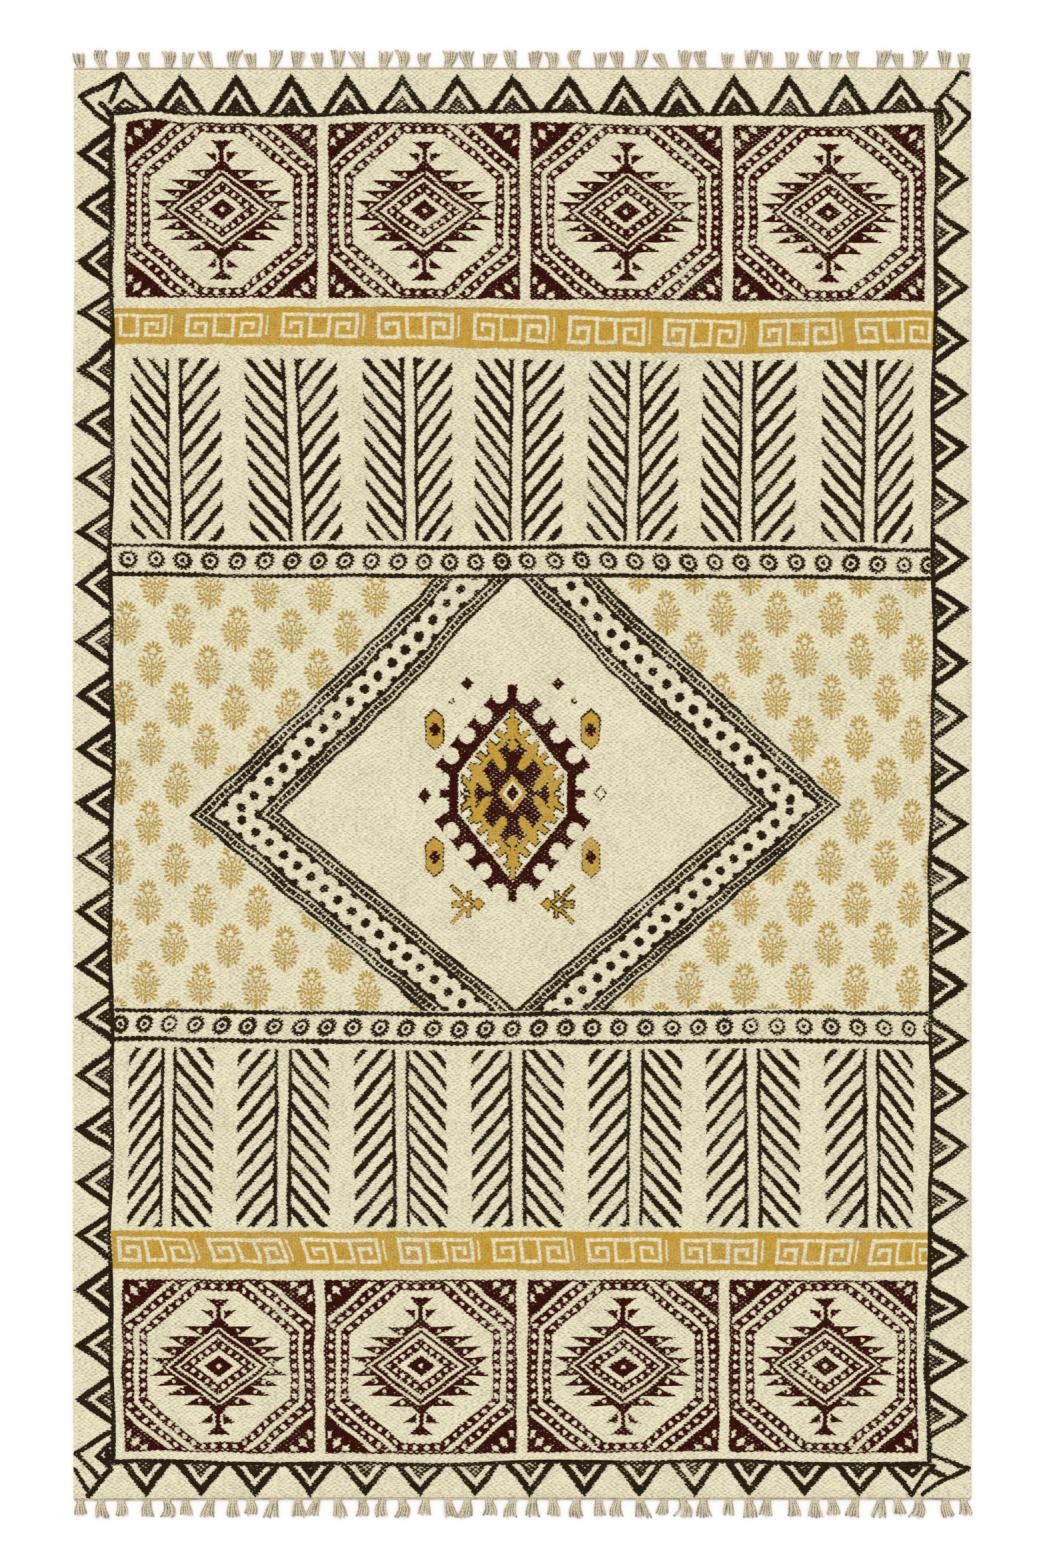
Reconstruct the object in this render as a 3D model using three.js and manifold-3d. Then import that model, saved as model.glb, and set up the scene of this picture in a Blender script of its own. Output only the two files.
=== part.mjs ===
// A block-printed cotton flatweave rug, lying flat, with a row of knotted tassels along each end.
// Millimetres, +Z up. +Y runs along the rug and the origin is the middle of its underside.
import * as THREE from 'three';
import { mergeVertices } from 'three/addons/utils/BufferGeometryUtils.js';
import Module from 'manifold-3d';

// The woven cloth
const CLOTH_WIDTH = 1524;
const CLOTH_LENGTH = 2424;
const CLOTH_THICKNESS = 4;

// How far the cloth draws in from its straight edges. A row holds for one share of the way along
// the edge: the two selvedges from bottom to top, and the two ends from left to right.
const EDGE_DRAW_IN = [
  { along: 0.00, left: 1.2, right: 0.6, bottom: 0.0, top: 1.2 },
  { along: 0.12, left: 0.3, right: 0.0, bottom: 1.0, top: 0.4 },
  { along: 0.25, left: 0.0, right: 0.8, bottom: 1.8, top: 0.6 },
  { along: 0.37, left: 0.8, right: 0.3, bottom: 2.2, top: 0.0 },
  { along: 0.50, left: 0.0, right: 0.5, bottom: 1.9, top: 0.9 },
  { along: 0.63, left: 0.7, right: 0.0, bottom: 1.4, top: 0.5 },
  { along: 0.75, left: 0.1, right: 0.9, bottom: 1.7, top: 1.0 },
  { along: 0.88, left: 3.2, right: 0.2, bottom: 2.0, top: 0.3 },
  { along: 1.00, left: 1.6, right: 0.7, bottom: 1.1, top: 0.8 },
];

// The fringe: tassels on a narrow strip of warp ends, a hair away from the cloth
const FRINGE_REACH = 33;
const STRIP_GAP = 0.3;
const STRIP_WIDTH = 3;
const STRIP_END_INSET = 2;
const YARN_HEIGHT = 3;
const TASSELS = 42;
const END_INSET = 13;
const PLACE_WANDER = { slow: 5, quick: 2.5 };
const NECK = { halfWidth: 5.2, out: 9 };
const KNOT = { footRadius: 4.4, topRadius: 2.8, height: 2.4, sunk: 1, out: 6.2, squeeze: 0.6, sides: 6 };
const STRAND = { rootWidth: 3, tipWidth: 5.4, rootPitch: 3.7, tipPitch: 6.9 };
const STRAND_LANES = [1, 0, -1];
const STRAND_STEPS = 3;
const LEAN = 5;
const BOW = 2.2;
const SHORTEST_SHARE = 0.74;
const TOP_PHASE = 0.4;
const BOTTOM_PHASE = 2.7;

const COTTON = { color: 0xe1dab9, roughness: 0.95, metalness: 0 };
const YARN = { color: 0xb9aa8a, roughness: 0.95, metalness: 0 };

const wasm = await Module();
wasm.setup();

function toSolid(geometry) {
  geometry.deleteAttribute('normal');
  geometry.deleteAttribute('uv');
  const merged = mergeVertices(geometry, 1e-4);
  return new wasm.Manifold(new wasm.Mesh({
    numProp: 3,
    vertProperties: new Float32Array(merged.attributes.position.array),
    triVerts: new Uint32Array(merged.index.array),
  }));
}

function toGeometry(solid) {
  const { vertProperties, triVerts } = solid.getMesh();
  const geometry = new THREE.BufferGeometry();
  geometry.setAttribute('position', new THREE.BufferAttribute(vertProperties, 3));
  geometry.setIndex(new THREE.BufferAttribute(triVerts, 1));
  geometry.computeVertexNormals();
  return geometry;
}

function raise(outline, height) {
  return new THREE.ExtrudeGeometry(new THREE.Shape(outline), { depth: height, bevelEnabled: false });
}

// The four edges in turn, anticlockwise from the bottom left corner, each with its own draw-in.
function clothOutline() {
  const halfWidth = CLOTH_WIDTH / 2;
  const halfLength = CLOTH_LENGTH / 2;
  const across = (along) => (along - 0.5) * CLOTH_WIDTH;
  const upward = (along) => (along - 0.5) * CLOTH_LENGTH;
  const inner = EDGE_DRAW_IN.slice(1, -1);
  const first = EDGE_DRAW_IN[0];
  const last = EDGE_DRAW_IN[EDGE_DRAW_IN.length - 1];
  const back = [...inner].reverse();
  return [
    new THREE.Vector2(-halfWidth + first.left, -halfLength + first.bottom),
    ...inner.map((row) => new THREE.Vector2(across(row.along), -halfLength + row.bottom)),
    new THREE.Vector2(halfWidth - first.right, -halfLength + last.bottom),
    ...inner.map((row) => new THREE.Vector2(halfWidth - row.right, upward(row.along))),
    new THREE.Vector2(halfWidth - last.right, halfLength - last.top),
    ...back.map((row) => new THREE.Vector2(across(row.along), halfLength - row.top)),
    new THREE.Vector2(-halfWidth + last.left, halfLength - first.top),
    ...back.map((row) => new THREE.Vector2(-halfWidth + row.left, upward(row.along))),
  ];
}

// The draw-in of one end at a place across the cloth, between the rows on either side of it.
function endDrawIn(end, x) {
  const along = THREE.MathUtils.clamp(x / CLOTH_WIDTH + 0.5, 0, 1);
  const next = Math.max(1, EDGE_DRAW_IN.findIndex((row) => row.along >= along));
  const low = EDGE_DRAW_IN[next - 1];
  const high = EDGE_DRAW_IN[next];
  return THREE.MathUtils.mapLinear(along, low.along, high.along, low[end], high[end]);
}

// One tassel's place, lean, bow and length, uneven from one to the next. The phase sets an end apart.
function tasselForm(index, phase, clothEdge) {
  const pitch = (CLOTH_WIDTH - 2 * END_INSET) / (TASSELS - 1);
  const loose = index > 0 && index < TASSELS - 1 ? 1 : 0;
  const wander = PLACE_WANDER.slow * Math.sin(1.9 * index + phase)
    + PLACE_WANDER.quick * Math.sin(4.3 * index + 2 * phase);
  const shortness = 0.5 + 0.5 * Math.sin(2.3 * index + 5 * phase);
  const x = -CLOTH_WIDTH / 2 + END_INSET + index * pitch + loose * wander;
  return {
    x,
    edge: clothEdge(x),
    lean: loose * LEAN * Math.sin(2.7 * index + 3 * phase),
    bow: loose * BOW * Math.sin(3.4 * index + 4 * phase),
    length: FRINGE_REACH * (1 - (1 - SHORTEST_SHARE) * shortness * shortness),
  };
}

// A strand seen from above: a bent strip from the tassel's neck to its blunt tip, widening on the way.
function strandOutline(form, lane) {
  const leftEdge = [];
  const rightEdge = [];
  for (let step = 0; step <= STRAND_STEPS; step += 1) {
    const share = step / STRAND_STEPS;
    const middle = form.x
      + lane * THREE.MathUtils.lerp(STRAND.rootPitch, STRAND.tipPitch, share)
      + form.lean * share
      + form.bow * Math.sin(Math.PI * share);
    const halfWidth = THREE.MathUtils.lerp(STRAND.rootWidth, STRAND.tipWidth, share) / 2;
    const y = THREE.MathUtils.lerp(form.edge + NECK.out, form.length, share);
    leftEdge.push(new THREE.Vector2(middle - halfWidth, y));
    rightEdge.push(new THREE.Vector2(middle + halfWidth, y));
  }
  return [...rightEdge, ...leftEdge.reverse()];
}

function tasselOutline(form) {
  const stripTop = form.edge + STRIP_GAP + STRIP_WIDTH;
  return [
    new THREE.Vector2(form.x + NECK.halfWidth, stripTop),
    ...STRAND_LANES.flatMap((lane) => strandOutline(form, lane)),
    new THREE.Vector2(form.x - NECK.halfWidth, stripTop),
  ];
}

// The strip and its tassels as one comb: along the cloth's edge to the right, then back by the tassels.
function fringeOutline(forms, clothEdge) {
  const half = CLOTH_WIDTH / 2 - STRIP_END_INSET;
  const stops = EDGE_DRAW_IN.slice(1, -1).map((row) => (row.along - 0.5) * CLOTH_WIDTH);
  const innerEdge = [-half, ...stops, half];
  return [
    ...innerEdge.map((x) => new THREE.Vector2(x, clothEdge(x) + STRIP_GAP)),
    new THREE.Vector2(half, clothEdge(half) + STRIP_GAP + STRIP_WIDTH),
    ...[...forms].reverse().flatMap(tasselOutline),
    new THREE.Vector2(-half, clothEdge(-half) + STRIP_GAP + STRIP_WIDTH),
  ];
}

// The raised turn of yarn that ties a tassel, standing on its neck.
function knotSolid(form) {
  const tall = KNOT.height + KNOT.sunk;
  const knot = new THREE.CylinderGeometry(KNOT.topRadius, KNOT.footRadius, tall, KNOT.sides);
  knot.rotateX(Math.PI / 2);
  knot.scale(1, KNOT.squeeze, 1);
  knot.translate(form.x, form.edge + KNOT.out, YARN_HEIGHT - KNOT.sunk + tall / 2);
  return toSolid(knot);
}

// One end's fringe, with the cloth's straight edge as the line y = 0 and the tassels running to +Y.
function fringeGeometry(phase, clothEdge) {
  const forms = Array.from({ length: TASSELS }, (_, index) => tasselForm(index, phase, clothEdge));
  const comb = toSolid(raise(fringeOutline(forms, clothEdge), YARN_HEIGHT));
  return toGeometry(forms.reduce((fringe, form) => fringe.add(knotSolid(form)), comb));
}

function part(name, geometry, finish) {
  const mesh = new THREE.Mesh(geometry, new THREE.MeshStandardMaterial(finish));
  mesh.name = name;
  return mesh;
}

const rug = new THREE.Group();
rug.add(part('woven_field', raise(clothOutline(), CLOTH_THICKNESS), COTTON));

// The upper fringe lies as drawn. The lower one is turned about, so its own +X is the rug's -X.
const topEdge = (x) => -endDrawIn('top', x);
const topFringe = part('fringe_top', fringeGeometry(TOP_PHASE, topEdge), YARN);
topFringe.position.y = CLOTH_LENGTH / 2;
rug.add(topFringe);

const bottomEdge = (x) => -endDrawIn('bottom', -x);
const bottomFringe = part('fringe_bottom', fringeGeometry(BOTTOM_PHASE, bottomEdge), YARN);
bottomFringe.rotation.z = Math.PI;
bottomFringe.position.y = -CLOTH_LENGTH / 2;
rug.add(bottomFringe);

export default rug;
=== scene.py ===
"""A block-printed cotton flatweave rug, lying flat, with a row of knotted tassels along each end.

Sizes are millimetres on the cloth, X across it and Y along it from its middle, until a mesh is made.
"""

import math
from functools import partial, reduce
from types import SimpleNamespace as Sizes

import bpy
import numpy as np
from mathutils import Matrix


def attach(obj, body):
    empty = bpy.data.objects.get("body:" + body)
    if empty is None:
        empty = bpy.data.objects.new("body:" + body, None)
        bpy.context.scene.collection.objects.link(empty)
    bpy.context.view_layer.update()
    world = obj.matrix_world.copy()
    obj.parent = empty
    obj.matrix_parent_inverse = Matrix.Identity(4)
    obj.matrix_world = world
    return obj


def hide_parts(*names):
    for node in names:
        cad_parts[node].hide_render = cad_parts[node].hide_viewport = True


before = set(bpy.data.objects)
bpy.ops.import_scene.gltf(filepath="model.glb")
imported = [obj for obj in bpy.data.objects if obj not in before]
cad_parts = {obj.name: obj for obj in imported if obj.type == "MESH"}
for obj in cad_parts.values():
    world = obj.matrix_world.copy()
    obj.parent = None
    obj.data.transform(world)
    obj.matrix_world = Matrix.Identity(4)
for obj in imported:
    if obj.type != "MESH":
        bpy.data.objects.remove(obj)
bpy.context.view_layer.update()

MM = 0.001
TURN = 2.0 * math.pi

# The cloth and its uneven edges. A row of the draw-in holds for one share of the way along an edge:
# the two selvedges from bottom to top, and the two ends from left to right.
CLOTH = Sizes(half_width=762.0, half_length=1212.0, thickness=4.0, grid=12.0)
RIM = Sizes(width=1.6, drop=1.1, lift=0.6)
UNDERSIDE = 0.05
BROAD_WAVE = Sizes(height=0.25, along_x=170.0, start=1.3, along_y=210.0)
SMALL_WAVE = Sizes(height=0.15, along_x=61.0, along_y=83.0)
DRAW_IN_COLUMNS = ("along", "left", "right", "bottom", "top")
DRAW_IN_ROWS = (
    (0.00, 1.2, 0.6, 0.0, 1.2),
    (0.12, 0.3, 0.0, 1.0, 0.4),
    (0.25, 0.0, 0.8, 1.8, 0.6),
    (0.37, 0.8, 0.3, 2.2, 0.0),
    (0.50, 0.0, 0.5, 1.9, 0.9),
    (0.63, 0.7, 0.0, 1.4, 0.5),
    (0.75, 0.1, 0.9, 1.7, 1.0),
    (0.88, 3.2, 0.2, 2.0, 0.3),
    (1.00, 1.6, 0.7, 1.1, 0.8),
)
DRAW_IN = dict(zip(DRAW_IN_COLUMNS, np.array(DRAW_IN_ROWS).T))

# The line that frames the print, and the bands inside it from the bottom of the rug to its top
FRAME = Sizes(left=-695.6, right=700.6, bottom=-1151.0, top=1137.4, half=3.8, half_thin=2.5)
BANDS = (
    ("tiles_low", -834.5),
    ("keys_low", -754.0),
    ("trees_low", -448.0),
    ("rings_low", -383.0),
    ("field", 348.2),
    ("rings_high", 410.0),
    ("trees_high", 727.0),
    ("keys_high", 811.0),
    ("tiles_high", FRAME.top - FRAME.half),
)

# Sizes of the printing blocks. A lean is the direction out from a slanting side, across and along the rug.
BORDER = Sizes(pitch=93.0, half_base=45.0, height=60.0, stroke=10.3, inner=19.8, paler=0.1, palest=1.3)
BORDER_ROWS = {
    "thin_top": Sizes(level=True, line=FRAME.top, way=1, apex=-673.0, pitch=93.9, height=66.0),
    "border_bottom": Sizes(level=True, line=FRAME.bottom, way=-1, apex=-637.7, pitch=93.0, height=58.0),
    "border_left": Sizes(level=False, line=FRAME.left, way=-1, apex=1161.0, pitch=91.85, height=63.0),
    "border_right": Sizes(level=False, line=FRAME.right, way=1, apex=751.9, pitch=91.1, height=58.0),
}
TILE = Sizes(pitch=343.0, half_width=162.0, half_height=149.0, rim_x=158.5, rim_y=146.0, thinner=0.28)
TILE_RING = Sizes(half_width=122.0, half_height=132.0, lean=(0.654, 0.756), reach=121.4, corner=46.0)
TILE_DROPS = Sizes(middle=22.0, pitch=19.0, out=71.0, slim=0.8, long=0.5, size=5.8, reach=27.0)
TILE_HEART = Sizes(lean=(0.6106, 0.792), core=14.6, eye=4.4, lines=((45.8, 51.0), (56.2, 59.6)))
TILE_RING_BANDS = (
    Sizes(low=0.0, high=13.0, beads=6.5, pitch=16.0, radius=4.4, turn=128.0),
    Sizes(low=22.5, high=37.0, beads=29.5, pitch=16.2, radius=4.5, turn=150.0),
)
TILE_HEART_BAND = Sizes(low=25.2, high=39.0, beads=32.1, pitch=14.5, radius=4.4)
SPIKES = Sizes(first=16.2, step=17.6, low=2.6, high=69.5, root=56.2, taper=1.9, slim=0.47)
SPIKE_REACHES = (Sizes(longest=130.0, fall=0.81), Sizes(longest=190.0, fall=1.9))
SPIKE_EYE = Sizes(up=7.5, inwards=27.0, radius=3.8)
KEY = Sizes(pitch=162.0, half_height=33.0, half_line=3.7, stop_x=(71.0, 75.6), stop_y=(-18.0, 20.0))
TREE = Sizes(pitch=195.0, height=306.0, stem=11.5, half_stem=2.6, tip=76.0)
TREE_STROKES = Sizes(first=8.0, step=35.8, slope=1.2, half=3.9, looser=0.085)
RING = Sizes(pitch=45.3, inner=9.0, outer=13.3, dot=3.4, line=24.2, half_line=3.0)
RING_TEETH = Sizes(count=15, half=1.3, inner=11.0, outer=15.0)
LEAF_TAPER = 1.6
SPRIG = Sizes(across=94.0, along=135.0)
SPRIG_ROWS = {
    "left": Sizes(x=-631.0, y=-72.0, middle=-500.0, along=135.0, tilt=-0.045, lean=0.022),
    "right": Sizes(x=617.0, y=7.5, middle=540.0, along=140.0, tilt=-0.014, lean=0.014),
}
DIAMOND = Sizes(x=-11.0, y=-44.5, tilt=0.0157, lean=(0.662, 0.749), reach=365.0, high=0.934, low=1.039)
DIAMOND_BAND = Sizes(depth=97.5, low_depth=103.0, change=120.0, margin=16.0, sprig_gap=4.0)
DIAMOND_LINES = Sizes(outer=46.2, hatch=36.2, inner=26.2, half=2.5, half_hatch=3.4, hatch_pitch=9.5)
DIAMOND_DOTS = Sizes(pitch=31.0, radius=7.2, half_radius=6.4, half_out=24.5, half_limit=26.0)
DIAMOND_PEAK = Sizes(across=(0, 30, 95, 165), raised=(20, 14, 13, 0), above=200.0)
MEDALLION = Sizes(x=-16.0, y=-16.0, half_width=93.0, lean=(0.777, 0.629), reach=94.2)
MEDALLION_ZONE = Sizes(x=172.0, y=226.0)

# The bars of the key band's scroll: where a bar's middle line lies, and the bar's two ends
KEY_LEVEL_BARS = (
    (19.3, 0.0, 65.5),
    (4.5, 26.5, 52.0),
    (-18.4, 26.5, 65.5),
    (-18.4, 0.0, 19.0),
)
KEY_UPRIGHT_BARS = (
    (15.3, -22.0, 22.0),
    (30.0, -22.0, 8.0),
    (48.5, -8.0, 8.0),
    (62.0, -22.0, 22.8),
)

# Where the blocks are printed: a block's middle, how much smaller than the block the print is, and its tilt
BLOCK_COLUMNS = ("x", "y", "across", "along", "tilt")
BLOCK_ROWS = {
    "tiles_high": (5.5, 970.5, 1.0, 1.005, -0.005),
    "tiles_low": (0.0, -987.0, 1.0, 1.02, 0.0),
    "keys_high": (-504.6, 769.0, 1.0, 1.0, 0.0),
    "keys_low": (-459.7, -791.6, 1.021, 1.035, 0.0),
    "trees_high": (0.0, 412.5, 1.0, 1.0, 0.0),
    "trees_low": (0.0, -450.0, -1.0, -1.02, 0.0),
    "rings_high": (-666.0, 376.8, 1.0, 1.0, 0.0),
    "rings_low": (-681.7, -412.5, 1.016, 1.0, 0.0),
    "medallion": (MEDALLION.x, MEDALLION.y, 1.0, 1.0, 0.0),
    "plain": (0.0, 0.0, 1.0, 1.0, 0.0),
}
BLOCKS = {name: Sizes(**dict(zip(BLOCK_COLUMNS, row))) for name, row in BLOCK_ROWS.items()}

# The triangles' rows meet in strokes of their own at the rug's corners. Places and ends of strokes are
# measured out from the frame's corner, across the rug and along it, and each stroke has a half width.
CORNER_BLOCK = 600.0
CORNERS = {
    "top_left": Sizes(column=0, row=0, inner_across=69.0, inner_along=22.0),
    "top_right": Sizes(column=1, row=0, inner_across=12.0, inner_along=64.0),
    "bottom_left": Sizes(column=0, row=1, inner_across=11.0, inner_along=61.0),
    "bottom_right": Sizes(column=1, row=1, inner_across=83.0, inner_along=35.0),
}
STROKE_COLUMNS = ("from_x", "from_y", "to_x", "to_y", "half")
CORNER_STROKES = {
    "top_left": (
        (54, 28, -13, 64, 5.0),
        (54, 28, 30, 0, 3.6),
        (30, 0, 0, -18, 3.6),
        (20, 16, -2, -6, 5.0),
        (-14, 65, 4, 20, 4.0),
        (-17, 65, -66, 6, 4.2),
        (-20, 22, -44, 6, 3.4),
        (-20, 22, -4, 8, 3.4),
        (-10, 6, -38, 6, 3.4),
    ),
    "top_right": (
        (1, 12, 44, 69, 3.6),
        (44, 69, 55, 66, 3.4),
        (21, 30, 59, -4, 4.2),
        (59, -9, 6, -60, 4.0),
        (6, 16, 27, -14, 4.2),
        (27, -16, 8, -36, 3.8),
        (9, 4, 9, -26, 5.5),
    ),
    "bottom_left": (
        (62, -15, 22, 27, 4.2),
        (62, -16, 3, -53, 3.8),
        (4, 13, 41, 56, 4.4),
        (64, 12, 43, 46, 3.0),
        (27, -10, 4, 10, 4.0),
        (27, -10, 6, -30, 3.4),
        (9, -18, 9, 2, 5.0),
    ),
    "bottom_right": (
        (2, -16, 57, 7, 3.6),
        (57, 7, 25, 26, 3.6),
        (25, 26, -11, 56, 3.2),
        (4, 12, 19, 19, 4.8),
        (-36, 56, 6, 4, 4.2),
        (-37, 56, -80, 4, 4.2),
        (-36, 22, -56, 6, 3.4),
        (-36, 22, -16, 6, 3.4),
        (-48, 6, -24, 6, 3.4),
    ),
}

# How unsteady the printer's hand was: lines that waver about a straight line in a slow and a quick wave,
# each wave with its height, length and start, and fade out within a reach of the line
WAVER_COLUMNS = "at reach slow length start quick quick_length quick_start tilt shift".split()
UPRIGHT_ROWS = (
    (FRAME.left, 30, 2.4, 93, 1.0, 1.3, 37, 0.0, 0.0, 0.0),
    (FRAME.right, 30, 2.2, 120, 0.0, 1.4, 43, 2.0, 0.0055, -5.5),
)
LEVEL_ROWS = (
    (FRAME.top, 30, 3.2, 130, 2.0, 1.6, 47, 0.0, 0.0, 0.0),
    (FRAME.bottom, 30, 2.6, 150, 0.0, 1.5, 52, 1.0, 0.0, 0.0),
    (376, 45, 1.6, 165, 0.5, 1.2, 61, 0.0, -0.005, 0.0),
    (-412, 45, 3.2, 185, 5.3, 1.0, 57, 0.0, -0.004, 0.0),
    (-794, 45, 1.4, 140, 1.0, 0.0, 50, 0.0, -0.003, 0.0),
)
UPRIGHT_LINES = [Sizes(**dict(zip(WAVER_COLUMNS, row))) for row in UPRIGHT_ROWS]
LEVEL_LINES = [Sizes(**dict(zip(WAVER_COLUMNS, row))) for row in LEVEL_ROWS]
FRAME_RISE = Sizes(x=-630.0, half_width=36.0, height=8.0, reach=30.0)

# How far each tree of the two rows stands from an even spacing, and how much it leans in thousandths
TREE_PLACES = np.arange(-3, 4) * TREE.pitch
TREE_ENDS = 705.0
TREE_ROWS = (
    Sizes(middle=566, way=1, shift=(-4, 3, 5, -8, -6, -9, 6), lean=(-15, -50, -10, 12, 20, 8, 15)),
    Sizes(middle=-598, way=-1, shift=(-16, -16, -10, -8, -3, 1, 9), lean=(-15, -8, 10, 5, -10, 12, 8)),
)
TREE_FADE = Sizes(out=205.0, over=45.0)

# How far the upper key band's two edges stand from straight lines, at places across the rug
KEY_BEND_COLUMNS = ("across", "lower", "upper")
KEY_BEND_ROWS = (
    (-640, 12.7, 4.0),
    (-390, 10.0, 6.5),
    (-150, 6.9, 8.3),
    (100, -2.3, 1.9),
    (350, -7.7, -5.4),
    (600, 0.4, -0.6),
)
KEY_BEND = dict(zip(KEY_BEND_COLUMNS, np.array(KEY_BEND_ROWS).T))
KEY_BEND_FADE = Sizes(below=718.0, above=822.0)

# Shares of the square that the cloth's surface is laid out on
BAKE = Sizes(margin=0.003, print_low=0.067, print_height=0.93)
BAKE_REST = Sizes(under_height=0.05, wall_low=0.056, wall_height=0.006)

# The fringe, as its solid is: tassels on a narrow strip just off the cloth's ends
FRINGE = Sizes(reach=33.0, tassels=42, end_inset=13.0, knot_out=6.2, shortest=0.74, lean=5.0, bow=2.2)
PLACE_WANDER = Sizes(slow=5.0, quick=2.5)
FRINGE_PHASE = {"top": 0.4, "bottom": 2.7}
FRINGE_CHANCE = {"top": 11, "bottom": 23}

# A tassel's yarns: how they lie in it, how far each strays, and how they gather at the knot and spread
TASSEL = Sizes(yarns=9, steps=13, root=0.8, height=1.3, layer=1.5, arch=0.5)
STRAY = Sizes(lane=0.12, layer=0.2, shortest=0.86, aside=2.2, wild_share=0.06, wild=3.6, lean=4.5, bow=3.2)
GATHER = Sizes(knot=4.4, spread=6.6, spread_power=0.7, foot=2.4, stray_power=1.5, solid_share=0.6)
YARN = Sizes(radius=0.85, tip_radius=0.6, tip_from=0.9, ply_offset=0.75, turns=2.6, sides=5)
COIL = Sizes(half_width=4.3, half_height=1.9, radius=0.95, apart=1.1, height=2.3, sides=5, steps=12)
CORD = Sizes(inset=2.5, out=1.6, height=1.9, turns=170, steps=900)

# The camera far above the rug, with what its frame takes in there, and the studio. Metres and degrees.
VIEW = Sizes(across=0.0008, along=0.0, frame_height=2.659, distance=9.0, sensor=36.0, clip_end=100.0)
STUDIO = Sizes(floor_reach=60.0, sky=0.86, key=0.75, key_softness=24.0, key_tilt=(-38.0, -34.0))


def linear(*srgb):
    """A colour given as it looks on screen, 0 to 255, as the light it sends back."""
    shares = [value / 255 for value in srgb]
    return tuple(s / 12.92 if s <= 0.04045 else ((s + 0.055) / 1.055) ** 2.4 for s in shares) + (1.0,)


# The cotton from its dark end to its light end: the dark end stands for darker yarn and for painted shade in
# the weave's hollows.
CREAM_LOW = linear(187, 178, 145)
CREAM_HIGH = linear(239, 232, 200)
# Each ink from deep to pale, mixed by the cotton's tone, so it is darker in the weave's hollows as painted
# shade.
INKS = {
    "ochre": Sizes(deep=linear(138, 103, 30), pale=linear(193, 157, 62), depth=1.5, grain=0.8, wear=0.8),
    "mustard": Sizes(deep=linear(158, 113, 24), pale=linear(206, 164, 60), depth=1.35, grain=0.9, wear=2.2),
    "maroon": Sizes(deep=linear(14, 3, 2), pale=linear(62, 18, 11), depth=1.9, grain=1.0, wear=2.8),
    "black": Sizes(deep=linear(9, 6, 2), pale=linear(44, 35, 20), depth=2.1, grain=1.0, wear=3.8),
}
INK = Sizes(spread=0.6, nub=1.5, fine=4.6, edge=0.9)
WEAVE = Sizes(nub_x=5.4, nub_y=3.75, slub=13.0, cloud=75.0, cloud_detail=2.0)
STREAK = Sizes(size=2.1, stretch=2.6, detail=1.6)
WANDER = Sizes(columns=6.0, columns_slub=3.0, rows=4.0, rows_slub=-2.5)
# How light the cotton is: the nub weight paints shade into the hollows between nubs; fine, slub and cloud
# are the yarn's own uneven tone.
TONE_AND_SHADE = Sizes(nub=0.34, fine=2.2, slub=0.5, cloud=0.45, middle=0.7)
RELIEF = Sizes(nub=0.5, fine=1.2, strength=0.5, depth=0.6)
DRIFT_SIZE = 55.0
# The yarn's tone: fuzz and patch are its own uneven colour, and the height term darkens low-lying yarn as
# painted shade.
YARN_TONE = Sizes(fuzz=1.6, patch=14.0, by_fuzz=1.5, by_patch=1.0, by_height=0.24, lowest=0.05)
# The dark end stands for darker yarn and for painted shade low down between the yarns.
YARN_DARK = linear(88, 70, 42)
YARN_LIGHT = linear(232, 219, 187)
FLOOR = linear(254, 254, 254)


# Fields: numbers that vary over the cloth, worked out by a material's nodes


class Field:
    """A number at each point of the cloth, held by one output of a material's nodes."""

    def __init__(self, tree, socket):
        self.tree = tree
        self.socket = socket

    def __add__(self, other):
        return calculate("ADD", self, other)

    def __sub__(self, other):
        return calculate("SUBTRACT", self, other)

    def __rsub__(self, other):
        return calculate("SUBTRACT", other, self)

    def __mul__(self, other):
        return calculate("MULTIPLY", self, other)

    def __neg__(self):
        return calculate("MULTIPLY", self, -1.0)

    def __abs__(self):
        return calculate("ABSOLUTE", self)

    __radd__ = __add__
    __rmul__ = __mul__


def calculate(operation, *values, clamp=False):
    tree = next(value.tree for value in values if isinstance(value, Field))
    node = tree.nodes.new("ShaderNodeMath")
    node.operation = operation
    node.use_clamp = clamp
    for socket, value in zip(node.inputs, values):
        if isinstance(value, Field):
            tree.links.new(value.socket, socket)
        else:
            socket.default_value = value
    return Field(tree, node.outputs[0])


def either(*shapes):
    """Shapes are distances, negative inside. This one holds the inside of any of them."""
    return reduce(partial(calculate, "MINIMUM"), shapes)


def both(*shapes):
    return reduce(partial(calculate, "MAXIMUM"), shapes)


def without(shape, hole):
    return both(shape, -hole)


def near(field, middle, half):
    return abs(field - middle) - half


def between(field, low, high):
    return near(field, (low + high) / 2, (high - low) / 2)


def box(x, y, low_x, high_x, low_y, high_y):
    return both(between(x, low_x, high_x), between(y, low_y, high_y))


def fold(field, period):
    """The distance to the nearest whole number of periods."""
    return calculate("PINGPONG", field, period / 2)


def wrapped(field, period):
    """The signed distance from the nearest whole number of periods."""
    return calculate("WRAP", field, period / 2, -period / 2)


def slant(x, y, by_x, by_y, offset=0.0):
    return calculate("MULTIPLY_ADD", x, by_x, calculate("MULTIPLY_ADD", y, by_y, -offset))


def span(x, y):
    return calculate("SQRT", calculate("MULTIPLY_ADD", x, x, y * y))


def angle(y, x):
    return calculate("ARCTAN2", y, x)


# The printed motifs: each gives its inks as shapes, from a place on its printing block


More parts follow.
